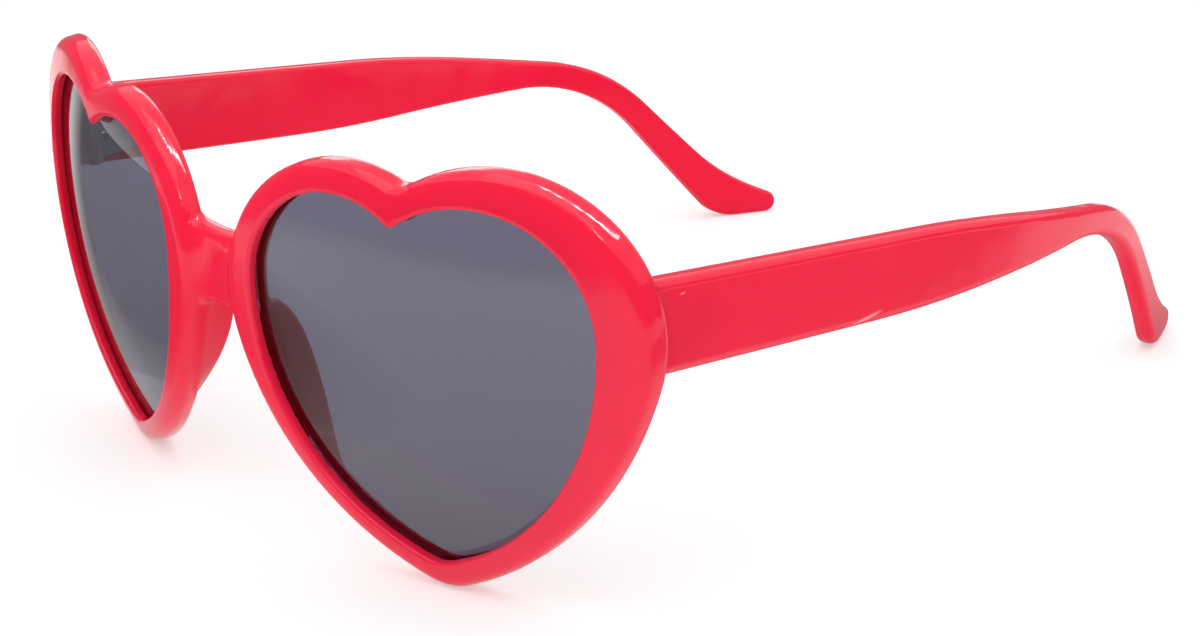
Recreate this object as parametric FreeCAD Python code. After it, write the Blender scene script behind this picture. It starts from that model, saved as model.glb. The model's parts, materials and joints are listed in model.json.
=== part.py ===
"""Heart shaped sunglasses: one moulded front, two lenses, two temples and their screw hinges.

Millimetres. +X is the wearer's left, the front faces -Y, the temples run back along +Y and +Z is up.
The glasses stand open on the two heart tips and the two temple feet. The front is drawn in its own
upright frame (u across, v up, y back) and then leaned; a depth is measured in from the front curve.
"""
import FreeCAD, Part
import math
import os

# Front: a moulding on one spherical curve
FRONT_CURVE_RADIUS = 130.0
CURVE_POLE_HEIGHT = 25.0
FRONT_LEAN = 6.9
# Rims: depth by the nose, and how much tighter the back curves than the front
RIM_DEPTH = 4.2
RIM_WRAP = 3.0
RIM_FRONT_ROUND = 2.2
RIM_BACK_ROUND = 1.2
OPENING_EDGE_ROUND = 0.45

# Lens opening: a heart of tangent arcs, as centre and radius of the lobes and the tip
OPENING_NASAL_LOBE = (24.1, 39.6, 14.8)
OPENING_TEMPORAL_LOBE = (43.8, 38.2, 16.6)
OPENING_TIP = (35.0, 7.5, 4.5)
OPENING_NASAL_SIDE_RADIUS = 40.0
OPENING_TEMPORAL_SIDE_RADIUS = 36.5
OPENING_CLEFT_WEB = 0.45

# Outside of the rim: a second heart, given by how far each centre moves and each radius grows
RIM_NASAL_LOBE_GROWTH = (0.2, -1.6, 5.5)
RIM_TEMPORAL_LOBE_GROWTH = (1.6, -0.2, 4.9)
RIM_TIP_GROWTH = (0.1, -1.6, 2.7)
RIM_NASAL_SIDE_GROWTH = 11.5
RIM_TEMPORAL_SIDE_GROWTH = 13.0
RIM_CLEFT_ROUND = 3.0

# Lenses and their groove
LENS_DEPTH = 1.7
LENS_THICKNESS = 1.5
LENS_INTO_GROOVE = 0.9
LENS_CLEARANCE = 0.08

# Bridge: heights, and its reach into the rims
BRIDGE_SETBACK = 1.7
BRIDGE_THICKNESS = 3.4
BRIDGE_TOP = 44.6
BRIDGE_TOP_SAG = 0.5
BRIDGE_ARCH_TOP = 33.6
BRIDGE_ARCH_FOOT = 30.0
BRIDGE_REACH = 3.0
BRIDGE_EDGE_ROUND = 1.2

# Nose pads: depth of the rear edge at heights down the nasal side, and its lean outwards from the rim's edge
PAD_REAR_EDGE = ((34.6, 7.2), (31.0, 9.4), (25.0, 9.7), (19.0, 8.1), (14.0, 5.7), (11.0, 4.6))
PAD_LEAN = 2.8
PAD_EDGE_RADIUS = 1.2
PAD_FLUSH = 0.1
PAD_ROOT_COVER = 0.8

# Hinges
HINGE_HEIGHT = 37.4
BUTT_GAP = 0.12
KNUCKLE_RADIUS = 1.3
KNUCKLE_HEIGHT = 2.2
KNUCKLE_GAP = 0.06
KNUCKLE_CLEARANCE = 0.1
SCREW_RADIUS = 0.7
SCREW_CLEARANCE = 0.03
SCREW_HEAD_RADIUS = 1.15
SCREW_HEAD_HEIGHT = 0.7
SCREW_SLOT_WIDTH = 0.35
SCREW_SLOT_DEPTH = 0.35
LEAF_THICKNESS = 1.0
LEAF_CLEARANCE = 0.05
FRONT_LEAF_REACH = 2.4
TEMPLE_LEAF_START = 1.0
TEMPLE_LEAF_LENGTH = 9.0
TEMPLE_LEAF_SUNK = 0.6

# Temples
TEMPLE_OUTSIDE = 65.2
TEMPLE_MIDDLE = 40.2
TEMPLE_THICKNESS = 3.2
TEMPLE_BASE_HEIGHT = 12.9
TEMPLE_STRAIGHT = 63.0
TEMPLE_FRONT_OVERLAP = 4.0
TEMPLE_BOW_RADIUS = 192.0
TEMPLE_OUTSIDE_ROUND = 1.3
TEMPLE_INSIDE_ROUND = 0.8
# Corners of the arm's side view: run back from the hinge, height above the table, and radius
TEMPLE_UPPER_CORNERS = ((66.0, 41.8, 300.0), (110.3, 33.2, 36.0), (134.0, 8.7, 45.0), (144.4, 3.5, 2.1))
TEMPLE_LOWER_CORNERS = ((145.0, 0.0, 2.0), (133.0, 0.0, 8.6), (106.6, 31.5, 32.0), (53.0, 31.4, 250.0))

# End pieces: depth of the butt in the rim's back, reach into the rim, lie from its side, room by the temple
BUTT_SUNK = 0.6
END_PIECE_ROOT = 2.4
END_PIECE_INSET = 1.7
END_PIECE_ROUND = 1.2
TEMPLE_ROOM = 2.0


def curve_y(u, v, radius, nearest):
    """Place along y of a curve of the front, which has a radius and a place nearest to the viewer."""
    return nearest + radius - math.sqrt(radius**2 - u**2 - (v - CURVE_POLE_HEIGHT)**2)


# Derived places
TEMPLE_INSIDE = TEMPLE_OUTSIDE - TEMPLE_THICKNESS
HINGE_X = TEMPLE_INSIDE - KNUCKLE_RADIUS - KNUCKLE_CLEARANCE
LEAF_HEIGHT = 3 * KNUCKLE_HEIGHT + 2 * KNUCKLE_GAP
OPENING_CLEFT_ROUND = OPENING_EDGE_ROUND + OPENING_CLEFT_WEB
RIM_BACK_RADIUS = FRONT_CURVE_RADIUS - RIM_WRAP
RIM_OUTSIDE = (OPENING_TEMPORAL_LOBE[0] + OPENING_TEMPORAL_LOBE[2]
               + RIM_TEMPORAL_LOBE_GROWTH[0] + RIM_TEMPORAL_LOBE_GROWTH[2])
RIM_INSIDE = (OPENING_NASAL_LOBE[0] - OPENING_NASAL_LOBE[2]
              + RIM_NASAL_LOBE_GROWTH[0] - RIM_NASAL_LOBE_GROWTH[2])
BRIDGE_HALF_SPAN = RIM_INSIDE + BRIDGE_REACH
RIM_BACK = curve_y(RIM_OUTSIDE - RIM_BACK_ROUND, TEMPLE_MIDDLE, RIM_BACK_RADIUS, RIM_DEPTH)
BUTT_DEPTH = RIM_BACK - BUTT_SUNK
UPRIGHT = FreeCAD.Vector(0, 0, 1)
BACKWARD = FreeCAD.Vector(0, 1, 0)
SIDEWAYS = FreeCAD.Vector(1, 0, 0)
# Reach of cutting tools past the part, and the difference below which two sizes count as one
REACH = 60.0
SAME = 1e-4


def front_point(u, v):
    """Point of the front's drawing plane."""
    return FreeCAD.Vector(u, 0, v)


def circles_meet(centre_a, radius_a, centre_b, radius_b, side):
    """Point where two circles cross, on the left (+1) or right (-1) of the line from a to b."""
    span = centre_b - centre_a
    along = (radius_a**2 - radius_b**2 + span.Length**2) / (2 * span.Length)
    across = math.sqrt(radius_a**2 - along**2)
    unit = span / span.Length
    normal = front_point(-unit.z, unit.x)
    return centre_a + unit * along + normal * (side * across)


def toward(start, end, distance):
    """Point at a distance from start, on the line through end."""
    step = end - start
    return start + step * (distance / step.Length)


def arc_about(centre, start, end, bulge):
    """Arc about a centre from start to end, through the side that bulge points to."""
    middle = toward(centre, centre + bulge, (start - centre).Length)
    return Part.Arc(start, middle, end).toShape()


def heart(nasal_lobe, temporal_lobe, tip, nasal_side_radius, temporal_side_radius, cleft_round, grow=0.0):
    """Face of a heart of tangent arcs, grown outwards by a distance."""
    nasal = front_point(nasal_lobe[0], nasal_lobe[1])
    temporal = front_point(temporal_lobe[0], temporal_lobe[1])
    point = front_point(tip[0], tip[1])
    nasal_r = nasal_lobe[2] + grow
    temporal_r = temporal_lobe[2] + grow
    point_r = tip[2] + grow
    nasal_side_r = nasal_side_radius + grow
    temporal_side_r = temporal_side_radius + grow

    nasal_side = circles_meet(nasal, nasal_side_r - nasal_r, point, nasal_side_r - point_r, 1)
    temporal_side = circles_meet(temporal, temporal_side_r - temporal_r, point, temporal_side_r - point_r, -1)
    nasal_top = toward(nasal_side, nasal, nasal_side_r)
    nasal_low = toward(nasal_side, point, nasal_side_r)
    temporal_top = toward(temporal_side, temporal, temporal_side_r)
    temporal_low = toward(temporal_side, point, temporal_side_r)

    cleft = circles_meet(nasal, nasal_r + cleft_round, temporal, temporal_r + cleft_round, 1)
    cleft_nasal = toward(cleft, nasal, cleft_round)
    cleft_temporal = toward(cleft, temporal, cleft_round)
    left = front_point(-1, 0)
    edges = [
        arc_about(nasal, cleft_nasal, nasal_top, (cleft_nasal - nasal) + left * nasal_r),
        arc_about(nasal_side, nasal_top, nasal_low, (nasal_top + nasal_low) * 0.5 - nasal_side),
        arc_about(point, nasal_low, temporal_low, front_point(0, -1)),
        arc_about(temporal_side, temporal_low, temporal_top,
                  (temporal_top + temporal_low) * 0.5 - temporal_side),
        arc_about(temporal, temporal_top, cleft_temporal, (cleft_temporal - temporal) - left * temporal_r),
        arc_about(cleft, cleft_temporal, cleft_nasal, (cleft_temporal + cleft_nasal) * 0.5 - cleft),
    ]
    return Part.Face(Part.Wire(edges))


def opening_heart(grow=0.0):
    """Heart of the lens opening, grown for the groove and the lens."""
    return heart(OPENING_NASAL_LOBE, OPENING_TEMPORAL_LOBE, OPENING_TIP, OPENING_NASAL_SIDE_RADIUS,
                 OPENING_TEMPORAL_SIDE_RADIUS, OPENING_CLEFT_ROUND, grow)


def grown(circle, growth):
    """Circle of a heart with its centre moved and its radius grown."""
    return [size + change for size, change in zip(circle, growth)]


def rim_heart():
    """Heart round the outside of the rim."""
    return heart(grown(OPENING_NASAL_LOBE, RIM_NASAL_LOBE_GROWTH),
                 grown(OPENING_TEMPORAL_LOBE, RIM_TEMPORAL_LOBE_GROWTH),
                 grown(OPENING_TIP, RIM_TIP_GROWTH),
                 OPENING_NASAL_SIDE_RADIUS + RIM_NASAL_SIDE_GROWTH,
                 OPENING_TEMPORAL_SIDE_RADIUS + RIM_TEMPORAL_SIDE_GROWTH, RIM_CLEFT_ROUND)


def ball(radius, nearest):
    """Ball behind the drawing plane, from its place nearest to the viewer."""
    return Part.makeSphere(radius, FreeCAD.Vector(0, nearest + radius, CURVE_POLE_HEIGHT))


def curved_slab(face, front_depth, back_depth):
    """Solid over a face of the drawing plane, between two depths of the front curve."""
    prism = face.extrude(BACKWARD * REACH)
    outer = ball(FRONT_CURVE_RADIUS - front_depth, front_depth)
    return prism.common(outer).cut(ball(FRONT_CURVE_RADIUS - back_depth, back_depth))


def curved_face(solid, radius):
    """Face of a solid that lies on a curve of the front."""
    curved = [f for f in solid.Faces if isinstance(f.Surface, Part.Sphere)]
    return max((f for f in curved if abs(f.Surface.Radius - radius) < SAME), key=lambda f: f.Area)


def mirrored(shape):
    """Copy of a shape on the other side of the nose."""
    return shape.mirror(FreeCAD.Vector(0, 0, 0), SIDEWAYS)


def make_rim():
    """Left rim: crowned heart ring with a rounded opening."""
    prism = rim_heart().extrude(BACKWARD * REACH)
    slab = prism.common(ball(FRONT_CURVE_RADIUS, 0.0)).cut(ball(RIM_BACK_RADIUS, RIM_DEPTH))
    slab = slab.makeFillet(RIM_FRONT_ROUND, curved_face(slab, FRONT_CURVE_RADIUS).OuterWire.Edges)
    slab = slab.makeFillet(RIM_BACK_ROUND, curved_face(slab, RIM_BACK_RADIUS).OuterWire.Edges)
    ring = slab.cut(opening_heart().extrude(BACKWARD * REACH))
    front = curved_face(ring, FRONT_CURVE_RADIUS)
    opening_edges = [w for w in front.Wires if not w.isSame(front.OuterWire)][0].Edges
    return ring.makeFillet(OPENING_EDGE_ROUND, opening_edges)


def lens_groove():
    """Groove round the left opening, clear of the lens on all sides."""
    return curved_slab(opening_heart(LENS_INTO_GROOVE + LENS_CLEARANCE), LENS_DEPTH - LENS_CLEARANCE,
                       LENS_DEPTH + LENS_THICKNESS + LENS_CLEARANCE)


def nasal_edge(face, height):
    """Distance from the nose line to a heart's nasal edge at a height."""
    middle = face.CenterOfMass.x
    line = Part.makeLine(front_point(0, height), front_point(middle, height))
    return line.common(face).BoundBox.XMin


def pad_section(rim, opening, height, depth):
    """Level section of the left nose pad: a wedge with a round rear edge, flush with the rim's side."""
    rim_u = nasal_edge(rim, height)
    root_u = rim_u + PAD_FLUSH
    inner_u = nasal_edge(opening, height) - LENS_INTO_GROOVE - LENS_CLEARANCE - PAD_ROOT_COVER
    rear_u = rim_u + PAD_LEAN
    root_y = curve_y(root_u, height, FRONT_CURVE_RADIUS, 0.0) + RIM_FRONT_ROUND
    inner_y = curve_y(inner_u, height, RIM_BACK_RADIUS, RIM_DEPTH) - PAD_ROOT_COVER
    rear_y = curve_y(rear_u, height, FRONT_CURVE_RADIUS, 0.0) + depth
    root = FreeCAD.Vector(root_u, root_y, height)
    inner = FreeCAD.Vector(inner_u, inner_y, height)
    rear = FreeCAD.Vector(rear_u, rear_y, height)
    nasal_rear = rear - SIDEWAYS * PAD_EDGE_RADIUS - BACKWARD * PAD_EDGE_RADIUS
    inner_rear = rear + SIDEWAYS * PAD_EDGE_RADIUS - BACKWARD * PAD_EDGE_RADIUS
    edges = [
        Part.makeLine(root, nasal_rear),
        Part.Arc(nasal_rear, rear, inner_rear).toShape(),
        Part.makeLine(inner_rear, inner),
        Part.makeLine(inner, root),
    ]
    return Part.Wire(edges)


def make_pad():
    """Left nose pad: lofted down the nasal side of the rim."""
    rim = rim_heart()
    opening = opening_heart()
    sections = [pad_section(rim, opening, height, depth) for height, depth in PAD_REAR_EDGE]
    return Part.makeLoft(sections, True)


def make_bridge():
    """Web between the rims, set back from their crowns, with an arched underside."""
    top_left = front_point(-BRIDGE_HALF_SPAN, BRIDGE_TOP)
    top_right = front_point(BRIDGE_HALF_SPAN, BRIDGE_TOP)
    foot_left = front_point(-BRIDGE_HALF_SPAN, BRIDGE_ARCH_FOOT)
    foot_right = front_point(BRIDGE_HALF_SPAN, BRIDGE_ARCH_FOOT)
    arch = Part.BezierCurve()
    pole_height = BRIDGE_ARCH_FOOT + (BRIDGE_ARCH_TOP - BRIDGE_ARCH_FOOT) * 4 / 3
    arch.setPoles([foot_right, front_point(BRIDGE_HALF_SPAN / 2, pole_height),
                   front_point(-BRIDGE_HALF_SPAN / 2, pole_height), foot_left])
    outline = [
        Part.Arc(top_left, front_point(0, BRIDGE_TOP - BRIDGE_TOP_SAG), top_right).toShape(),
        Part.makeLine(top_right, foot_right),
        arch.toShape(),
        Part.makeLine(foot_left, top_left),
    ]
    back_depth = BRIDGE_SETBACK + BRIDGE_THICKNESS
    web = curved_slab(Part.Face(Part.Wire(outline)), BRIDGE_SETBACK, back_depth)
    long_edges = []
    for depth in (BRIDGE_SETBACK, back_depth):
        for edge in curved_face(web, FRONT_CURVE_RADIUS - depth).Edges:
            if abs(edge.CenterOfMass.x) < BRIDGE_HALF_SPAN / 2:
                long_edges.append(edge)
    return web.makeFillet(BRIDGE_EDGE_ROUND, long_edges)


def block(x_span, y_span, z_span):
    """Box between pairs of places."""
    corner = FreeCAD.Vector(x_span[0], y_span[0], z_span[0])
    return Part.makeBox(x_span[1] - x_span[0], y_span[1] - y_span[0], z_span[1] - z_span[0], corner)


def about(centre, length, margin=0.0):
    """Pair of places a length apart about a centre, widened by a margin."""
    return (centre - length / 2 - margin, centre + length / 2 + margin)


def front_leaf_plate(margin=0.0):
    """Plate of the front leaf, flush with the back of the end piece."""
    back = BUTT_DEPTH - LEAF_CLEARANCE
    return block((HINGE_X - margin, TEMPLE_INSIDE + FRONT_LEAF_REACH + margin),
                 (back - LEAF_THICKNESS - margin, back + margin),
                 about(HINGE_HEIGHT, LEAF_HEIGHT, margin))


def temple_leaf_plate(margin=0.0):
    """Plate of the temple leaf, sunk in the inside of the temple."""
    start = BUTT_DEPTH + TEMPLE_LEAF_START
    outer = TEMPLE_INSIDE + TEMPLE_LEAF_SUNK
    return block((outer - LEAF_THICKNESS - margin, outer + margin),
                 (start - margin, start + TEMPLE_LEAF_LENGTH + margin),
                 about(HINGE_HEIGHT, LEAF_HEIGHT, margin))


def make_end_piece():
    """Left end piece: the block that the temple butts on, reaching from the rim to the temple."""
    rim_side = RIM_OUTSIDE - END_PIECE_INSET
    inside = min(TEMPLE_INSIDE, rim_side - TEMPLE_THICKNESS)
    outside = max(TEMPLE_OUTSIDE, rim_side)
    body = block((inside, outside), (BUTT_DEPTH - END_PIECE_ROOT, BUTT_DEPTH),
                 about(TEMPLE_MIDDLE, TEMPLE_BASE_HEIGHT))
    corners = []
    for edge in body.Edges:
        runs_back = abs(edge.Vertexes[0].Y - edge.Vertexes[1].Y) > SAME
        if runs_back and edge.CenterOfMass.x > inside + SAME:
            corners.append(edge)
    return body.makeFillet(END_PIECE_ROUND, corners)


def knuckle_base(place):
    """Height of the foot of a knuckle, counted from the lower one as -1, 0 or 1."""
    return HINGE_HEIGHT - KNUCKLE_HEIGHT / 2 + place * (KNUCKLE_HEIGHT + KNUCKLE_GAP)


def hinge_cylinder(radius, foot, height):
    """Cylinder on the left hinge's axis."""
    return Part.makeCylinder(radius, height, FreeCAD.Vector(HINGE_X, BUTT_DEPTH, foot), UPRIGHT)


def hinge_room():
    """Room in the front for the knuckles and the screw's head."""
    foot = knuckle_base(-1) - KNUCKLE_GAP
    top = knuckle_base(1) + KNUCKLE_HEIGHT + SCREW_HEAD_HEIGHT + KNUCKLE_GAP
    return hinge_cylinder(KNUCKLE_RADIUS + KNUCKLE_CLEARANCE, foot, top - foot)


def temple_room():
    """Shelf in the rim's back for the end of the temple."""
    return block((TEMPLE_INSIDE - BUTT_GAP, TEMPLE_OUTSIDE + BUTT_GAP), (BUTT_DEPTH, BUTT_DEPTH + REACH),
                 about(TEMPLE_MIDDLE, TEMPLE_BASE_HEIGHT, TEMPLE_ROOM))


def screw_bore():
    """Hole for the hinge screw through all knuckles."""
    return hinge_cylinder(SCREW_RADIUS + SCREW_CLEARANCE, HINGE_HEIGHT - LEAF_HEIGHT, 2 * LEAF_HEIGHT)


def make_front_leaf():
    """Left front leaf: a plate with an upper and a lower knuckle."""
    leaf = front_leaf_plate()
    for place in (-1, 1):
        leaf = leaf.fuse(hinge_cylinder(KNUCKLE_RADIUS, knuckle_base(place), KNUCKLE_HEIGHT))
    room = hinge_cylinder(KNUCKLE_RADIUS + KNUCKLE_CLEARANCE, knuckle_base(0) - KNUCKLE_GAP,
                          KNUCKLE_HEIGHT + 2 * KNUCKLE_GAP)
    return leaf.cut(room).cut(screw_bore()).removeSplitter()


def make_temple_leaf():
    """Left temple leaf: a plate with a strap to the middle knuckle."""
    strap = block((HINGE_X, HINGE_X + KNUCKLE_RADIUS),
                  (BUTT_DEPTH, BUTT_DEPTH + TEMPLE_LEAF_START + LEAF_THICKNESS),
                  (knuckle_base(0), knuckle_base(0) + KNUCKLE_HEIGHT))
    knuckle = hinge_cylinder(KNUCKLE_RADIUS, knuckle_base(0), KNUCKLE_HEIGHT)
    return temple_leaf_plate().fuse([strap, knuckle]).cut(screw_bore()).removeSplitter()


def make_screw():
    """Left hinge screw: shank through the knuckles and a slotted head on the upper one."""
    foot = knuckle_base(-1)
    top = knuckle_base(1) + KNUCKLE_HEIGHT
    shank = hinge_cylinder(SCREW_RADIUS, foot, top - foot)
    head = hinge_cylinder(SCREW_HEAD_RADIUS, top, SCREW_HEAD_HEIGHT)
    slot = block(about(HINGE_X, SCREW_SLOT_WIDTH), about(BUTT_DEPTH, REACH),
                 (top + SCREW_HEAD_HEIGHT - SCREW_SLOT_DEPTH, top + SCREW_HEAD_HEIGHT + SCREW_SLOT_DEPTH))
    return shank.fuse(head).cut(slot).removeSplitter()


def make_lens():
    """Left lens: a heart of even thickness, let into the groove all round."""
    return curved_slab(opening_heart(LENS_INTO_GROOVE), LENS_DEPTH, LENS_DEPTH + LENS_THICKNESS)


def make_front():
    """Front moulding: rims with pads, end pieces, lens grooves and hinge pockets, joined by the bridge."""
    half = make_rim().fuse([make_pad(), make_end_piece()])
    half = half.cut([lens_groove(), front_leaf_plate(LEAF_CLEARANCE), hinge_room(), temple_room()])
    return half.fuse([mirrored(half), make_bridge()]).removeSplitter()


def outline_edges(faces):
    """Edges that bound a group of faces."""
    edges = [e for f in faces for e in f.Edges]
    return [e for e in edges if sum(e.isSame(other) for other in edges) == 1]


def temple_plan(hinge_y):
    """Plan of the left temple: straight by the hinge, then bowed in towards the head."""
    foot_run = max(corner[0] for corner in TEMPLE_UPPER_CORNERS)
    turn = math.asin((foot_run + TEMPLE_FRONT_OVERLAP - TEMPLE_STRAIGHT) / TEMPLE_BOW_RADIUS)
    start_y = hinge_y - TEMPLE_FRONT_OVERLAP
    bow_y = hinge_y + TEMPLE_STRAIGHT
    centre = FreeCAD.Vector(TEMPLE_OUTSIDE - TEMPLE_BOW_RADIUS, bow_y, 0)

    def bowed(radius, angle):
        return centre + FreeCAD.Vector(radius * math.cos(angle), radius * math.sin(angle), 0)

    inner_radius = TEMPLE_BOW_RADIUS - TEMPLE_THICKNESS
    outer = [bowed(TEMPLE_BOW_RADIUS, part * turn) for part in (0, 0.5, 1)]
    inner = [bowed(inner_radius, part * turn) for part in (1, 0.5, 0)]
    outer_start = FreeCAD.Vector(TEMPLE_OUTSIDE, start_y, 0)
    inner_start = FreeCAD.Vector(TEMPLE_INSIDE, start_y, 0)
    return Part.Face(Part.Wire([
        Part.makeLine(outer_start, outer[0]),
        Part.Arc(*outer).toShape(),
        Part.makeLine(outer[2], inner[0]),
        Part.Arc(*inner).toShape(),
        Part.makeLine(inner[2], inner_start),
        Part.makeLine(inner_start, outer_start),
    ]))


def rounded_outline(corners):
    """Wire of straight runs between corners, each a point and the radius of its arc (0 for a sharp one)."""
    edges = []
    ends = []
    for index, (corner, radius) in enumerate(corners):
        before = (corners[index - 1][0] - corner).normalize()
        after = (corners[(index + 1) % len(corners)][0] - corner).normalize()
        if radius == 0:
            ends.append((corner, corner))
            continue
        half = before.getAngle(after) / 2
        start = corner + before * (radius / math.tan(half))
        end = corner + after * (radius / math.tan(half))
        middle = corner + (before + after).normalize() * (radius / math.sin(half) - radius)
        edges.append(Part.Arc(start, middle, end).toShape())
        ends.append((start, end))
    for index, (start, end) in enumerate(ends):
        edges.append(Part.makeLine(ends[index - 1][1], start))
    return Part.Wire(Part.__sortEdges__(edges))


def temple_side(hinge_y, hinge_z):
    """Side view of the temple: a tapering arm, the ear bend and the turned-out foot."""
    base_y = hinge_y - TEMPLE_FRONT_OVERLAP
    base_top = FreeCAD.Vector(0, base_y, hinge_z + TEMPLE_BASE_HEIGHT / 2)
    base_foot = FreeCAD.Vector(0, base_y, hinge_z - TEMPLE_BASE_HEIGHT / 2)
    corners = [(FreeCAD.Vector(0, hinge_y + run, height), radius)
               for run, height, radius in TEMPLE_UPPER_CORNERS + TEMPLE_LOWER_CORNERS]
    return Part.Face(rounded_outline([(base_top, 0), *corners, (base_foot, 0)]))


def make_temple(hinge, lean):
    """Left temple, cut square to the front at the butt, with the pocket of its hinge leaf."""
    plan = temple_plan(hinge.y).extrude(UPRIGHT * 2 * REACH)
    plan.translate(UPRIGHT * -REACH)
    side = temple_side(hinge.y, hinge.z).extrude(SIDEWAYS * REACH * 2)
    arm = side.common(plan)
    for radius, reach, offset in ((TEMPLE_OUTSIDE_ROUND, TEMPLE_BOW_RADIUS, TEMPLE_OUTSIDE),
                                  (TEMPLE_INSIDE_ROUND, TEMPLE_BOW_RADIUS - TEMPLE_THICKNESS, TEMPLE_INSIDE)):
        faces = []
        for face in arm.Faces:
            surface = face.Surface
            bowed = isinstance(surface, Part.Cylinder) and abs(surface.Radius - reach) < SAME
            straight = isinstance(surface, Part.Plane) and abs(face.CenterOfMass.x - offset) < SAME
            if bowed or straight:
                faces.append(face)
        front_end = hinge.y - TEMPLE_FRONT_OVERLAP + BUTT_GAP
        arm = arm.makeFillet(radius, [e for e in outline_edges(faces) if e.CenterOfMass.y > front_end])
    front_side = block((0, 2 * TEMPLE_OUTSIDE), (-REACH, BUTT_DEPTH + BUTT_GAP), (-REACH, 2 * REACH))
    pocket = temple_leaf_plate(LEAF_CLEARANCE)
    return arm.cut([front_side.transformed(lean.toMatrix()), pocket.transformed(lean.toMatrix())])


def build():
    """All nodes by name, standing on the table with the origin under the middle of their box."""
    front = make_front()
    lean = FreeCAD.Placement(FreeCAD.Vector(0, 0, 0), FreeCAD.Rotation(SIDEWAYS, FRONT_LEAN))
    lowest = front.transformed(lean.toMatrix()).optimalBoundingBox(False).ZMin
    lean.Base = UPRIGHT * -lowest
    hinge = lean.multVec(FreeCAD.Vector(HINGE_X, BUTT_DEPTH, TEMPLE_MIDDLE))

    nodes = {"front_frame": front.transformed(lean.toMatrix())}
    left = {
        "lens": make_lens().transformed(lean.toMatrix()),
        "front_hinge_leaf": make_front_leaf().transformed(lean.toMatrix()),
        "hinge_screw": make_screw().transformed(lean.toMatrix()),
        "temple_hinge_leaf": make_temple_leaf().transformed(lean.toMatrix()),
        "temple": make_temple(hinge, lean),
    }
    for name, shape in left.items():
        nodes[name + "_left"] = shape
        nodes[name + "_right"] = mirrored(shape)

    boxes = [shape.optimalBoundingBox(False) for shape in nodes.values()]
    middle = (min(b.YMin for b in boxes) + max(b.YMax for b in boxes)) / 2
    floor = min(b.ZMin for b in boxes)
    shift = FreeCAD.Vector(0, -middle, -floor)
    for shape in nodes.values():
        shape.translate(shift)
    return nodes, hinge + shift


def main():
    """Write one STEP file per node."""
    os.makedirs("parts", exist_ok=True)
    nodes, hinge = build()
    for name, shape in nodes.items():
        shape.exportStep(os.path.join("parts", name + ".step"))
        box = shape.optimalBoundingBox(False)
        print(name, "solids", len(shape.Solids), "valid", shape.isValid(), "volume", round(shape.Volume, 2),
              "box", [round(v, 2) for v in (box.XMin, box.YMin, box.ZMin, box.XMax, box.YMax, box.ZMax)])
    print("left hinge axis through", [round(v, 4) for v in hinge], "leaning back", FRONT_LEAN, "degrees")


if __name__ == "__main__":
    main()
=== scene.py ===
"""Heart shaped sunglasses: glossy red plastic, smoked lenses and steel hinges, on a pale floor."""
import json
import logging
import math
from dataclasses import dataclass
from enum import Enum

import bmesh
import bpy
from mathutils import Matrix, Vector
from mathutils.bvhtree import BVHTree


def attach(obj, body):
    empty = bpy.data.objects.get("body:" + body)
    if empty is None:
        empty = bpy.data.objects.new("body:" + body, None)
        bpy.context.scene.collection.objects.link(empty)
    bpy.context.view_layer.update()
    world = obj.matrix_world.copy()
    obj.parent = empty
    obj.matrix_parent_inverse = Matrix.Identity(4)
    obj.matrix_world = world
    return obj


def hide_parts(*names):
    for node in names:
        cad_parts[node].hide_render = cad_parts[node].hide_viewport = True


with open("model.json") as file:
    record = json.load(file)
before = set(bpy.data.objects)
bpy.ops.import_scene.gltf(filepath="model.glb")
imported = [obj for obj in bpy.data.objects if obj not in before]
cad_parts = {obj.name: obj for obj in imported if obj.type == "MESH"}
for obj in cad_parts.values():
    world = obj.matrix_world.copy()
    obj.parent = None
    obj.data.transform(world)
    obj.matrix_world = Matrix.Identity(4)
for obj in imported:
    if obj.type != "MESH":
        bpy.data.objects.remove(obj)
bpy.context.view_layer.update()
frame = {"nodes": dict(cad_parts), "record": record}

LOG = logging.getLogger("sunglasses")
MERGE = 1e-6
ROUND_FACES = 96
WHITE = (1.0, 1.0, 1.0)

Pair = tuple[float, float]
Triple = tuple[float, float, float]
Socket = bpy.types.NodeSocket


class Side(Enum):
    """Side of the wearer's face, as the sign of x."""

    LEFT = 1
    RIGHT = -1

    @property
    def word(self) -> str:
        """Word that ends a node's name."""
        return self.name.lower()

    @property
    def temple_body(self) -> str:
        """Body that this side's temple moves with."""
        return f"{self.word}_temple"

    @property
    def joint(self) -> dict:
        """Record of the hinge on this side."""
        name = f"{self.word}_temple_fold"
        return next(j for j in frame["record"]["behaviour"]["joints"] if j["name"] == name)


class Slot(Enum):
    """Material slots of the record."""

    PLASTIC = "red_plastic"
    STEEL = "hinge_steel"


@dataclass(frozen=True)
class Grain:
    """Noise of a surface: its scale and finer layers, and its bump where it stands up."""

    scale: float
    detail: float
    strength: float = 0.0
    distance: float = 0.0


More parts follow.
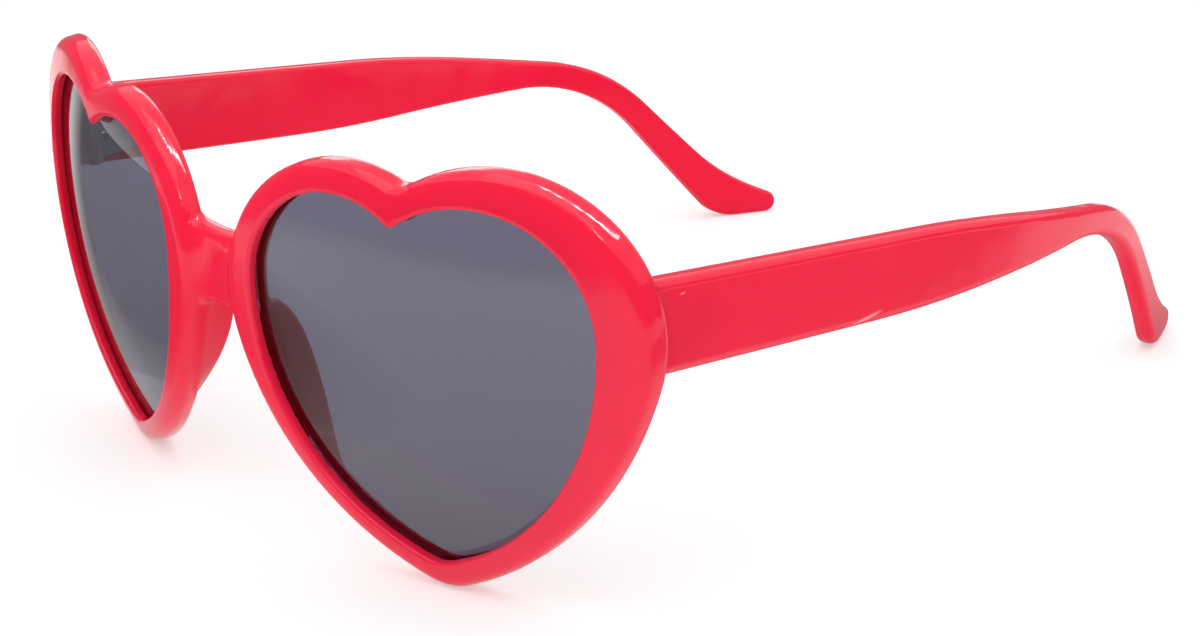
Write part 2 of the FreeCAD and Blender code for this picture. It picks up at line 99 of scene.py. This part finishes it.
class NodeTree:
    """Short way to fill the node tree of a material or of the world."""

    noise_range: Pair = (0.3, 0.7)
    shade_stops: Pair = (0.35, 0.65)

    def __init__(self, owner: bpy.types.Material | bpy.types.World) -> None:
        """Start an empty tree.

        Args:
            owner: Material or world that the tree belongs to.
        """
        owner.use_nodes = True
        self.owner = owner
        self.nodes = owner.node_tree.nodes
        self.links = owner.node_tree.links
        self.nodes.clear()

    @classmethod
    def of_material(cls, name: str) -> "NodeTree":
        """Start the tree of a new material."""
        return cls(bpy.data.materials.new(name))

    def add(self, kind: str, inputs: dict | None = None, **settings: object) -> bpy.types.Node:
        """Add a node.

        Args:
            kind: Blender's name of the node type, without ShaderNode.
            inputs: Socket values, or the sockets to link to them.
            settings: Attributes of the node.

        Returns:
            The new node.
        """
        node = self.nodes.new(f"ShaderNode{kind}")
        for name, value in settings.items():
            setattr(node, name, value)
        for name, value in (inputs or {}).items():
            if isinstance(value, Socket):
                self.links.new(value, node.inputs[name])
            else:
                node.inputs[name].default_value = value
        return node

    def place(self) -> Socket:
        """Add a texture coordinate and return the object's own one."""
        return self.add("TexCoord").outputs["Object"]

    def height(self, place: Socket) -> Socket:
        """Add a socket with the height of a place."""
        return self.add("SeparateXYZ", {"Vector": place}).outputs["Z"]

    def share(self, value: Socket, start: float, end: float) -> Socket:
        """Add a socket that climbs from 0 at the start to 1 at the end."""
        inputs = {"Value": value, "From Min": start, "From Max": end}
        return self.add("MapRange", inputs).outputs["Result"]

    def ramp(self, factor: Socket, stops: list[tuple[float, Triple]]) -> Socket:
        """Add a colour ramp.

        Args:
            factor: Socket that drives it.
            stops: Places along the ramp and their colours.

        Returns:
            The ramp's colour socket.
        """
        node = self.add("ValToRGB", {"Fac": factor})
        for element, (place, colour) in zip(node.color_ramp.elements, stops):
            element.position = place
            element.color = (*colour, 1.0)
        return node.outputs["Color"]

    def noise(self, place: Socket, grain: Grain) -> Socket:
        """Add a noise texture and return its value socket."""
        inputs = {"Vector": place, "Scale": grain.scale, "Detail": grain.detail}
        return self.add("TexNoise", inputs).outputs["Fac"]

    def shades(self, noise: Socket, first: Triple, second: Triple) -> Socket:
        """Colour a noise value between two shades."""
        return self.ramp(noise, list(zip(self.shade_stops, (first, second))))

    def spread(self, noise: Socket, low: float, high: float) -> Socket:
        """Map a noise value onto a range.

        Args:
            noise: Noise value, which seldom leaves the noise range.
            low: Result at the noise's low end.
            high: Result at its high end.

        Returns:
            The mapped socket.
        """
        start, end = self.noise_range
        inputs = {"Value": noise, "From Min": start, "From Max": end, "To Min": low, "To Max": high}
        return self.add("MapRange", inputs).outputs["Result"]

    def spot(self, middle: Triple, half: Triple, turn: float = 0.0) -> Socket:
        """Add an oval spot, 1 in its middle and 0 at its rim.

        Args:
            middle: Middle of the spot.
            half: Its half sizes.
            turn: Its turn about the x axis, in radians.

        Returns:
            The spot's value socket.
        """
        inputs = {"Vector": self.place(), "Location": middle, "Scale": half,
                  "Rotation": (turn, 0.0, 0.0)}
        unit = self.add("Mapping", inputs, vector_type="TEXTURE").outputs["Vector"]
        spot = self.add("TexGradient", {"Vector": unit}, gradient_type="SPHERICAL")
        return spot.outputs["Fac"]

    def bumps(self, layers: list[tuple[Socket, Grain]]) -> Socket:
        """Stack bump layers.

        Args:
            layers: Height socket and grain of each layer.

        Returns:
            The last layer's normal socket.
        """
        normal = None
        for height, grain in layers:
            inputs = {"Height": height, "Strength": grain.strength, "Distance": grain.distance}
            if normal is not None:
                inputs["Normal"] = normal
            normal = self.add("Bump", inputs).outputs["Normal"]
        return normal

    def seen_ray(self) -> Socket:
        """Tell what the camera sees, also by gloss or through a lens, from what only lights.

        Returns:
            A socket that is 1 for the rays that are seen.
        """
        rays = self.add("LightPath").outputs
        seen = rays["Is Camera Ray"]
        for kind in ("Is Glossy Ray", "Is Transmission Ray"):
            seen = self.add("Math", {0: seen, 1: rays[kind]}, operation="MAXIMUM").outputs[0]
        return seen

    def glow(self, colour: Socket | tuple, strength: float) -> Socket:
        """Add an even glow and return its shader socket."""
        return self.add("Emission", {"Color": colour, "Strength": strength}).outputs["Emission"]

    def finish(self, shader: Socket, output: str = "OutputMaterial") -> bpy.types.ID:
        """Link a shader to a new output.

        Args:
            shader: Shader of the surface.
            output: Blender's name of the output's type, without ShaderNode.

        Returns:
            The material or world.
        """
        self.add(output, {"Surface": shader})
        return self.owner


@dataclass(frozen=True)
class Scuff:
    """Pale mark painted into the colour, used for a rubbed scuff and for a painted highlight glint:
    its middle, its half sizes and its turn about the side's axis.
    """

    middle: Triple
    half: Triple
    turn: float


LEFT_SCUFF_AND_GLINT = (
    # A pale rubbed scratch on the left temple.
    Scuff(middle=(0.0652, -0.0212, 0.0337), half=(0.0010, 0.0034, 0.00032), turn=0.10),
    # Not wear: a painted highlight, a small pale glint dot on the left temple.
    Scuff(middle=(0.0652, -0.0575, 0.0464), half=(0.0004, 0.0006, 0.00016), turn=0.05),
)


@dataclass(frozen=True)
class MouldedPlastic:
    """Glossy through-coloured moulding: flow shades, soft ripple and fine handling haze."""

    name: str = "moulded_red_plastic"
    deep: Triple = (0.90, 0.0080, 0.050)
    bright: Triple = (0.99, 0.0125, 0.062)
    flow: Grain = Grain(scale=38.0, detail=3.0)
    haze: Grain = Grain(scale=420.0, detail=4.0)
    ripple: Grain = Grain(scale=150.0, detail=1.0, strength=0.05, distance=0.002)
    peel: Grain = Grain(scale=800.0, detail=2.0, strength=0.06, distance=0.0002)
    gloss: Pair = (0.06, 0.13)
    ior: float = 1.42
    milkiness: float = 0.6
    bleed: Triple = (1.0, 0.12, 0.12)
    depth: float = 0.004
    # Pale marks and their colour: real rubs, and also a painted highlight glint.
    scuffs: tuple[Scuff, ...] = ()
    rubbed: Triple = (0.98, 0.30, 0.30)
    rubbed_through: float = 0.5

    def build(self) -> bpy.types.Material:
        """Make the material.

        Returns:
            The material.
        """
        tree = NodeTree.of_material(self.name)
        place = tree.place()
        layers = [(tree.noise(place, grain), grain) for grain in (self.ripple, self.peel)]
        shader = tree.add("BsdfPrincipled", {
            "Base Color": self.colour(tree, place),
            "Roughness": tree.spread(tree.noise(place, self.haze), *self.gloss),
            "IOR": self.ior,
            "Subsurface Weight": self.milkiness,
            "Subsurface Radius": self.bleed,
            "Subsurface Scale": self.depth,
            "Normal": tree.bumps(layers),
        })
        return tree.finish(shader.outputs["BSDF"])

    def colour(self, tree: NodeTree, place: Socket) -> Socket:
        """Mix the flow shades and paint the pale marks into them: rubs, and a glint that is a
        painted highlight.

        Args:
            tree: Tree of the material.
            place: Its texture coordinate.

        Returns:
            The colour socket.
        """
        colour = tree.shades(tree.noise(place, self.flow), self.deep, self.bright)
        # Each mark is painted pale: a real rub, or the painted highlight glint.
        for mark in self.scuffs:
            spot = tree.spot(mark.middle, mark.half, mark.turn)
            worn_and_glint = tree.share(spot, 0.0, self.rubbed_through)
            mix = {"Fac": worn_and_glint, "Color1": colour, "Color2": (*self.rubbed, 1.0)}
            colour = tree.add("MixRGB", mix).outputs["Color"]
        return colour


@dataclass(frozen=True)
class SmokedLens:
    """Smoke grey lens sheet: clear gloss, a tint painted darker downwards as painted shade of the
    shaded floor seen through the lower lens, and a breath of haze.
    """

    name: str = "smoked_lens_sheet"
    upper: Triple = (0.136, 0.133, 0.184)
    # Painted shade: the lower tint is darker for the shaded floor seen through the lower lens.
    lower: Triple = (0.090, 0.082, 0.118)
    foot: float = 0.004
    head: float = 0.057
    haze: Grain = Grain(scale=90.0, detail=4.0)
    gloss: Pair = (0.0, 0.03)
    ior: float = 1.5

    def build(self) -> bpy.types.Material:
        """Make the material.

        Returns:
            The material.
        """
        tree = NodeTree.of_material(self.name)
        place = tree.place()
        level = tree.share(tree.height(place), self.foot, self.head)
        shader = tree.add("BsdfPrincipled", {
            # Tint ramp from the painted shade at the foot to the plain tint at the head.
            "Base Color": tree.ramp(level, [(0.0, self.lower), (1.0, self.upper)]),
            "Roughness": tree.spread(tree.noise(place, self.haze), *self.gloss),
            "IOR": self.ior,
            "Transmission Weight": 1.0,
        })
        return tree.finish(shader.outputs["BSDF"])


@dataclass(frozen=True)
class HingeSteel:
    """Stamped and tumbled hinge steel with fine drawn lines."""

    name: str = "hinge_steel"
    dull: Triple = (0.50, 0.49, 0.47)
    clean: Triple = (0.66, 0.65, 0.63)
    drawn: Triple = (1.0, 1.0, 14.0)
    lines: Grain = Grain(scale=900.0, detail=3.0, strength=0.12, distance=0.0001)
    stain: Grain = Grain(scale=500.0, detail=3.0)
    gloss: Pair = (0.24, 0.4)

    def build(self) -> bpy.types.Material:
        """Make the material.

        Returns:
            The material.
        """
        tree = NodeTree.of_material(self.name)
        place = tree.place()
        drawn = tree.add("Mapping", {"Vector": place, "Scale": self.drawn}).outputs["Vector"]
        lines = tree.noise(drawn, self.lines)
        shader = tree.add("BsdfPrincipled", {
            "Base Color": tree.shades(tree.noise(place, self.stain), self.dull, self.clean),
            "Metallic": 1.0,
            "Roughness": tree.spread(lines, *self.gloss),
            "Normal": tree.bumps([(lines, self.lines)]),
        })
        return tree.finish(shader.outputs["BSDF"])


@dataclass(frozen=True)
class StudioPaper:
    """White floor paper: shows as background white and keeps part of the object's shadow."""

    name: str = "studio_paper"
    white: Triple = (0.94, 0.94, 0.94)
    grain: Grain = Grain(scale=900.0, detail=3.0, strength=0.02, distance=0.0002)
    lift: float = 0.3
    glow: float = 1.4

    def build(self) -> bpy.types.Material:
        """Make the material.

        Returns:
            The material.
        """
        tree = NodeTree.of_material(self.name)
        grain = tree.noise(tree.place(), self.grain)
        paper = tree.add("BsdfDiffuse", {
            "Color": (*self.white, 1.0),
            "Normal": tree.bumps([(grain, self.grain)]),
        })
        glow = tree.glow((*WHITE, 1.0), self.glow)
        share = tree.add("Math", {0: tree.seen_ray(), 1: self.lift}, operation="MULTIPLY")
        mix = tree.add("MixShader", {"Fac": share.outputs[0], 1: paper.outputs[0], 2: glow})
        return tree.finish(mix.outputs[0])


@dataclass(frozen=True)
class RoomGrey:
    """Grey of the room past the paper: white at the paper's edge, darker and cloudy beyond it."""

    name: str = "room_grey"
    dark: Triple = (0.24, 0.24, 0.24)
    start: float = 0.0
    end: float = 0.014
    clouds: Grain = Grain(scale=6.0, detail=2.0)
    cloud_shift: float = 0.004
    strength: float = 1.1

    def build(self) -> bpy.types.Material:
        """Make the material.

        Returns:
            The material.
        """
        tree = NodeTree.of_material(self.name)
        place = tree.place()
        clouds = tree.spread(tree.noise(place, self.clouds), -self.cloud_shift, self.cloud_shift)
        level = tree.add("Math", {0: tree.height(place), 1: clouds}, operation="ADD").outputs[0]
        share = tree.share(level, self.start, self.end)
        colour = tree.ramp(share, [(0.0, WHITE), (1.0, self.dark)])
        return tree.finish(tree.glow(colour, self.strength))


@dataclass(frozen=True)
class CardGrey:
    """Grey of a shade card on the table: painted shade seen only in reflections, dark in the middle
    and fading to white at its rim.
    """

    name: str
    middle: Triple
    half: Triple
    dark: Triple
    dark_share: float = 0.32
    strength: float = 1.1

    def build(self) -> bpy.types.Material:
        """Make the material.

        Returns:
            The material.
        """
        tree = NodeTree.of_material(self.name)
        spot = tree.spot(self.middle, self.half)
        colour = tree.ramp(spot, [(0.0, WHITE), (self.dark_share, self.dark)])
        return tree.finish(tree.glow(colour, self.strength))


def dress(piece: bpy.types.Object, material: bpy.types.Material) -> None:
    """Give all of a piece one material.

    Args:
        piece: Object to dress.
        material: Its material.
    """
    if not piece.data.materials:
        piece.data.materials.append(material)
    for place in range(len(piece.data.materials)):
        piece.data.materials[place] = material
    LOG.info("dressed %s in %s", piece.name, material.name)


def merged_copy(node: str) -> bmesh.types.BMesh:
    """Copy a CAD node's mesh with its loose triangles merged.

    Args:
        node: Name of the node.

    Returns:
        The merged copy.
    """
    shape = bmesh.new()
    shape.from_mesh(frame["nodes"][node].data)
    bmesh.ops.remove_doubles(shape, verts=shape.verts, dist=MERGE)
    return shape


def add_piece(name: str, shape: bmesh.types.BMesh) -> bpy.types.Object:
    """Turn a bmesh into a smooth object at the origin and free it.

    Args:
        name: Name of the object.
        shape: Its shape.

    Returns:
        The new object.
    """
    mesh = bpy.data.meshes.new(name)
    shape.to_mesh(mesh)
    shape.free()
    mesh.polygons.foreach_set("use_smooth", [True] * len(mesh.polygons))
    piece = bpy.data.objects.new(name, mesh)
    bpy.context.scene.collection.objects.link(piece)
    return piece


def show_in_gloss_only(piece: bpy.types.Object) -> None:
    """Stage a piece that lights nothing, shades nothing and is seen only as a reflection.

    Args:
        piece: Object to stage.
    """
    for ray in ("camera", "diffuse", "transmission", "volume_scatter", "shadow"):
        setattr(piece, f"visible_{ray}", False)


@dataclass
class FrontMoulding:
    """Front with rims, bridge and nose pads, its inside corners filled softly as in a mould."""

    body: str = "front"
    node: str = "front_frame"
    name: str = "front_moulding"
    face_size: float = 0.00035
    soft_reach: float = 0.014
    lens_margin: float = 0.0016
    rounds: int = 220
    smoothing: float = 0.5

    def build(self, plastic: bpy.types.Material) -> bpy.types.Object:
        """Make the front.

        Args:
            plastic: Finish of the moulding.

        Returns:
            The front's object.
        """
        solid = merged_copy(self.node)
        surface = BVHTree.FromBMesh(solid)
        piece = add_piece(self.name, solid)
        self.even_faces(piece)
        self.soften(piece.data, surface)
        dress(piece, plastic)
        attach(piece, self.body)
        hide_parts(self.node)
        return piece

    def even_faces(self, piece: bpy.types.Object) -> None:
        """Give the piece small faces of one size, so that its corners can be smoothed.

        Args:
            piece: The front, with the merged faces of its solid.
        """
        remesh = piece.modifiers.new("even_faces", "REMESH")
        remesh.mode = "VOXEL"
        remesh.voxel_size = self.face_size
        remesh.use_smooth_shade = True
        graph = bpy.context.evaluated_depsgraph_get()
        fine = bpy.data.meshes.new_from_object(piece.evaluated_get(graph))
        piece.modifiers.clear()
        piece.data = fine

    def soften(self, mesh: bpy.types.Mesh, surface: BVHTree) -> None:
        """Lay the fine mesh on the solid and fill the corners between rims, bridge and pads.

        Args:
            mesh: Mesh of small faces.
            surface: Surface of the solid.
        """
        lenses = [merged_copy(f"lens_{side.word}") for side in Side]
        trees = [BVHTree.FromBMesh(lens) for lens in lenses]
        shape = bmesh.new()
        shape.from_mesh(mesh)
        for vert in shape.verts:
            vert.co = surface.find_nearest(vert.co)[0]
        soft = [vert for vert in shape.verts if abs(vert.co.x) < self.soft_reach
                and all(tree.find_nearest(vert.co)[3] > self.lens_margin for tree in trees)]
        for _ in range(self.rounds):
            shape.normal_update()
            start = [(vert, vert.co.copy(), vert.normal.copy()) for vert in soft]
            bmesh.ops.smooth_vert(shape, verts=soft, factor=self.smoothing,
                                  use_axis_x=True, use_axis_y=True, use_axis_z=True)
            for vert, place, normal in start:
                vert.co = place + normal * max(0.0, (vert.co - place).dot(normal))
        shape.to_mesh(mesh)
        shape.free()
        for lens in lenses:
            lens.free()


@dataclass
class Lens:
    """One smoked lens in its groove."""

    side: Side

    def build(self, smoke: bpy.types.Material) -> bpy.types.Object:
        """Dress the lens.

        Args:
            smoke: Finish of the lens.

        Returns:
            The lens's object.
        """
        piece = frame["nodes"][f"lens_{self.side.word}"]
        dress(piece, smoke)
        return piece


@dataclass
class Temple:
    """One temple with its hinge: leaves, screw and the rivets that hold the leaf."""

    side: Side
    leaf_inside: float = 0.0010
    rivet_middle: float = 0.0055
    rivet_spread: float = 0.0026
    rivet_drop: float = 0.0028
    rivet_radius: float = 0.00085
    rivet_height: float = 0.00035
    rivet_faces: int = 24
    dome_shares: Triple = (0.35, 0.7, 1.0)

    def build(self, plastic: bpy.types.Material, steel: bpy.types.Material) -> bpy.types.Object:
        """Dress the temple and its hinge and add the rivets.

        Args:
            plastic: Finish of the temple.
            steel: Finish of the hinge.

        Returns:
            The temple's object.
        """
        piece = frame["nodes"][f"temple_{self.side.word}"]
        dress(piece, plastic)
        for name in ("front_hinge_leaf", "hinge_screw", "temple_hinge_leaf"):
            dress(frame["nodes"][f"{name}_{self.side.word}"], steel)
        rivets = add_piece(f"leaf_rivets_{self.side.word}", self.rivets())
        dress(rivets, steel)
        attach(rivets, self.side.temple_body)
        return piece

    def rivets(self) -> bmesh.types.BMesh:
        """Spin two domed rivet heads on the inside of the temple's leaf.

        Returns:
            Shape of both heads.
        """
        hinge = Vector(self.side.joint["pos_m"])
        upright = Vector(self.side.joint["axis"]) * self.side.value
        inward = Vector((-self.side.value, 0.0, 0.0))
        backward = Vector((1.0, 0.0, 0.0)).cross(upright) * -1.0
        leaf = (hinge - inward * self.leaf_inside + backward * self.rivet_middle
                - upright * self.rivet_drop)
        both = bmesh.new()
        for place in (-self.rivet_spread, self.rivet_spread):
            middle = leaf + backward * place
            path = [both.verts.new(middle + upright * self.rivet_radius)]
            for share in self.dome_shares:
                reach = self.rivet_radius * math.cos(share * math.pi / 2)
                rise = self.rivet_height * math.sin(share * math.pi / 2)
                path.append(both.verts.new(middle + upright * reach + inward * rise))
            edges = [both.edges.new(pair) for pair in zip(path, path[1:])]
            bmesh.ops.spin(both, geom=path + edges, cent=middle, axis=inward, angle=2 * math.pi,
                           steps=self.rivet_faces, use_merge=True)
        bmesh.ops.remove_doubles(both, verts=both.verts, dist=MERGE)
        open_edges = [edge for edge in both.edges if edge.is_boundary]
        bmesh.ops.holes_fill(both, edges=open_edges, sides=0)
        bmesh.ops.recalc_face_normals(both, faces=both.faces)
        return both


@dataclass(frozen=True)
class Panel:
    """Flat lamp: its name, place, aim, size and brightness, and whether it only shows in gloss."""

    name: str
    place: Triple
    aim: Triple
    size: Pair
    brightness: float
    gloss_only: bool = False

    def build(self) -> bpy.types.Object:
        """Hang the lamp.

        Returns:
            The lamp's object.
        """
        light = bpy.data.lights.new(self.name, "AREA")
        light.shape = "RECTANGLE"
        light.size, light.size_y = self.size
        light.energy = self.brightness * math.pi * self.size[0] * self.size[1]
        lamp = bpy.data.objects.new(self.name, light)
        lamp.location = self.place
        ahead = Vector(self.aim) - Vector(self.place)
        lamp.rotation_euler = ahead.to_track_quat("-Z", "Y").to_euler()
        lamp.visible_camera = False
        lamp.visible_transmission = False
        lamp.visible_diffuse = not self.gloss_only
        bpy.context.scene.collection.objects.link(lamp)
        return lamp


@dataclass(frozen=True)
class Card:
    """Oval grey card on the table that only the gloss sees, painted shade of the floor in
    reflections: its middle, half sizes and shade.
    """

    name: str
    middle: Triple
    half: Triple
    shade: float
    height: float = 0.0004
    faces: int = 64

    def build(self) -> bpy.types.Object:
        """Lay the card.

        Returns:
            The card's object.
        """
        shape = bmesh.new()
        verts = bmesh.ops.create_circle(shape, cap_ends=True, segments=self.faces,
                                        radius=1.0)["verts"]
        bmesh.ops.scale(shape, verts=verts, vec=self.half)
        bmesh.ops.translate(shape, verts=verts, vec=(*self.middle[:2], self.height))
        card = add_piece(self.name, shape)
        dark = (self.shade, self.shade, self.shade)
        dress(card, CardGrey(f"{self.name}_grey", self.middle, self.half, dark).build())
        show_in_gloss_only(card)
        return card


@dataclass
class Studio:
    """White room: floor, surroundings, soft lamps and the camera."""

    floor_radius: float = 4.0
    world_light: float = 0.75
    wall_middle: Triple = (0.05, 0.18, 0.0)
    wall_radius: float = 0.42
    wall_height: float = 0.20
    # Painted shade in the floor's reflections: the glasses' shadow under them, and darker floor to
    # their left and right.
    cards: tuple[Card, ...] = (
        Card("side_card", middle=(-0.20, -0.11, 0.0), half=(0.22, 0.08, 1.0), shade=0.14),
        Card("under_card", middle=(0.0, 0.03, 0.0), half=(0.09, 0.13, 1.0), shade=0.3),
        Card("right_card", middle=(0.17, 0.06, 0.0), half=(0.065, 0.17, 1.0), shade=0.35),
    )
    lamps: tuple[Panel, ...] = (
        Panel("top_lamp", place=(0.1, -0.2, 1.1), aim=(0.0, 0.0, 0.0),
              size=(1.2, 1.2), brightness=1.2),
        Panel("front_lamp", place=(-0.5, -1.0, 0.7), aim=(0.0, -0.05, 0.03),
              size=(0.9, 0.9), brightness=0.5),
        Panel("nose_panel", place=(0.62, -0.50, 0.55), aim=(-0.008, -0.08, 0.045),
              size=(0.10, 0.16), brightness=14.0, gloss_only=True),
        Panel("bridge_panel", place=(-0.20, 0.115, 0.152), aim=(0.0, -0.08, 0.047),
              size=(0.11, 0.11), brightness=2.5, gloss_only=True),
    )
    streak_from: Triple = (0.057, -0.068, 0.058)
    streak_reach: float = 0.9
    streak_size: Pair = (0.055, 0.11)
    streak: tuple[tuple[Triple, float], ...] = (
        ((-0.117, 0.216, 0.969), 60.0),
        ((0.039, 0.217, 0.975), 60.0),
        ((0.19, 0.279, 0.941), 85.0),
        ((0.294, 0.402, 0.867), 75.0),
        ((0.36, 0.48, 0.80), 40.0),
        ((0.44, 0.52, 0.73), 24.0),
    )
    azimuth: float = 45.7
    elevation: float = 20.5
    distance: float = 0.39118
    target: Triple = (0.0, -0.00820, 0.01283)
    focal_length: float = 73.55
    sensor_width: float = 36.0
    nearest_seen: float = 0.01

    def build(self) -> None:
        """Set up the room, its lamps and the camera."""
        self.build_floor(StudioPaper().build())
        self.build_wall(RoomGrey().build())
        # Lay the cards of painted shade that only reflections show.
        for card in self.cards:
            card.build()
        self.build_world()
        for lamp in self.lamps:
            lamp.build()
        self.build_streak()
        self.build_camera()

    def build_floor(self, paper: bpy.types.Material) -> bpy.types.Object:
        """Lay the floor.

        Args:
            paper: Its material.

        Returns:
            The floor's object.
        """
        shape = bmesh.new()
        bmesh.ops.create_circle(shape, cap_ends=True, segments=ROUND_FACES,
                                radius=self.floor_radius)
        floor = add_piece("floor", shape)
        dress(floor, paper)
        return floor

    def build_wall(self, grey: bpy.types.Material) -> bpy.types.Object:
        """Stand a wall round the table that only the gloss sees, as the dark of a room.

        Args:
            grey: Its material.

        Returns:
            The wall's object.
        """
        shape = bmesh.new()
        ring = bmesh.ops.create_circle(shape, segments=ROUND_FACES,
                                       radius=self.wall_radius)["verts"]
        bmesh.ops.translate(shape, verts=ring, vec=self.wall_middle)
        grown = bmesh.ops.extrude_edge_only(shape, edges=shape.edges[:])["geom"]
        top = [item for item in grown if isinstance(item, bmesh.types.BMVert)]
        bmesh.ops.translate(shape, verts=top, vec=(0.0, 0.0, self.wall_height))
        wall = add_piece("room_wall", shape)
        dress(wall, grey)
        show_in_gloss_only(wall)
        return wall

    def build_world(self) -> None:
        """Surround the scene with even light that the camera, gloss and glass see as white."""
        world = bpy.data.worlds.new("white_room")
        bpy.context.scene.world = world
        tree = NodeTree(world)
        level = {"Value": tree.seen_ray(), "To Min": self.world_light, "To Max": 1.0}
        strength = tree.add("MapRange", level).outputs["Result"]
        background = tree.add("Background", {"Color": (*WHITE, 1.0), "Strength": strength})
        tree.finish(background.outputs["Background"], "OutputWorld")

    def build_streak(self) -> None:
        """Hang the row of small panels that draws the streak along the near rim."""
        start = Vector(self.streak_from)
        for number, (way, brightness) in enumerate(self.streak):
            place = start + Vector(way).normalized() * self.streak_reach
            Panel(f"streak_panel_{number}", tuple(place), self.streak_from, self.streak_size,
                  brightness, gloss_only=True).build()

    def build_camera(self) -> bpy.types.Object:
        """Set up the camera.

        Returns:
            The camera's object.
        """
        turn, rise = math.radians(self.azimuth), math.radians(self.elevation)
        flat = math.cos(rise)
        back = Vector((math.sin(turn) * flat, -math.cos(turn) * flat, math.sin(rise)))
        data = bpy.data.cameras.new("camera")
        data.sensor_width = self.sensor_width
        data.lens = self.focal_length
        data.clip_start = self.nearest_seen
        camera = bpy.data.objects.new("camera", data)
        camera.location = Vector(self.target) + back * self.distance
        camera.rotation_euler = (-back).to_track_quat("-Z", "Y").to_euler()
        bpy.context.scene.collection.objects.link(camera)
        bpy.context.scene.camera = camera
        return camera


def main() -> None:
    """Build the sunglasses and the studio."""
    logging.basicConfig(level=logging.INFO)
    bpy.context.scene.view_settings.view_transform = "Standard"
    plastic = MouldedPlastic().build()
    # The left temple carries a rubbed scratch and a painted highlight glint.
    scuffed_and_glinted = MouldedPlastic("moulded_red_plastic_scuffed", scuffs=LEFT_SCUFF_AND_GLINT).build()
    smoke = SmokedLens().build()
    steel = HingeSteel().build()
    FrontMoulding().build(plastic)
    for side in Side:
        Lens(side).build(smoke)
        Temple(side).build(scuffed_and_glinted if side is Side.LEFT else plastic, steel)
    Studio().build()


if __name__ == "__main__":
    main()
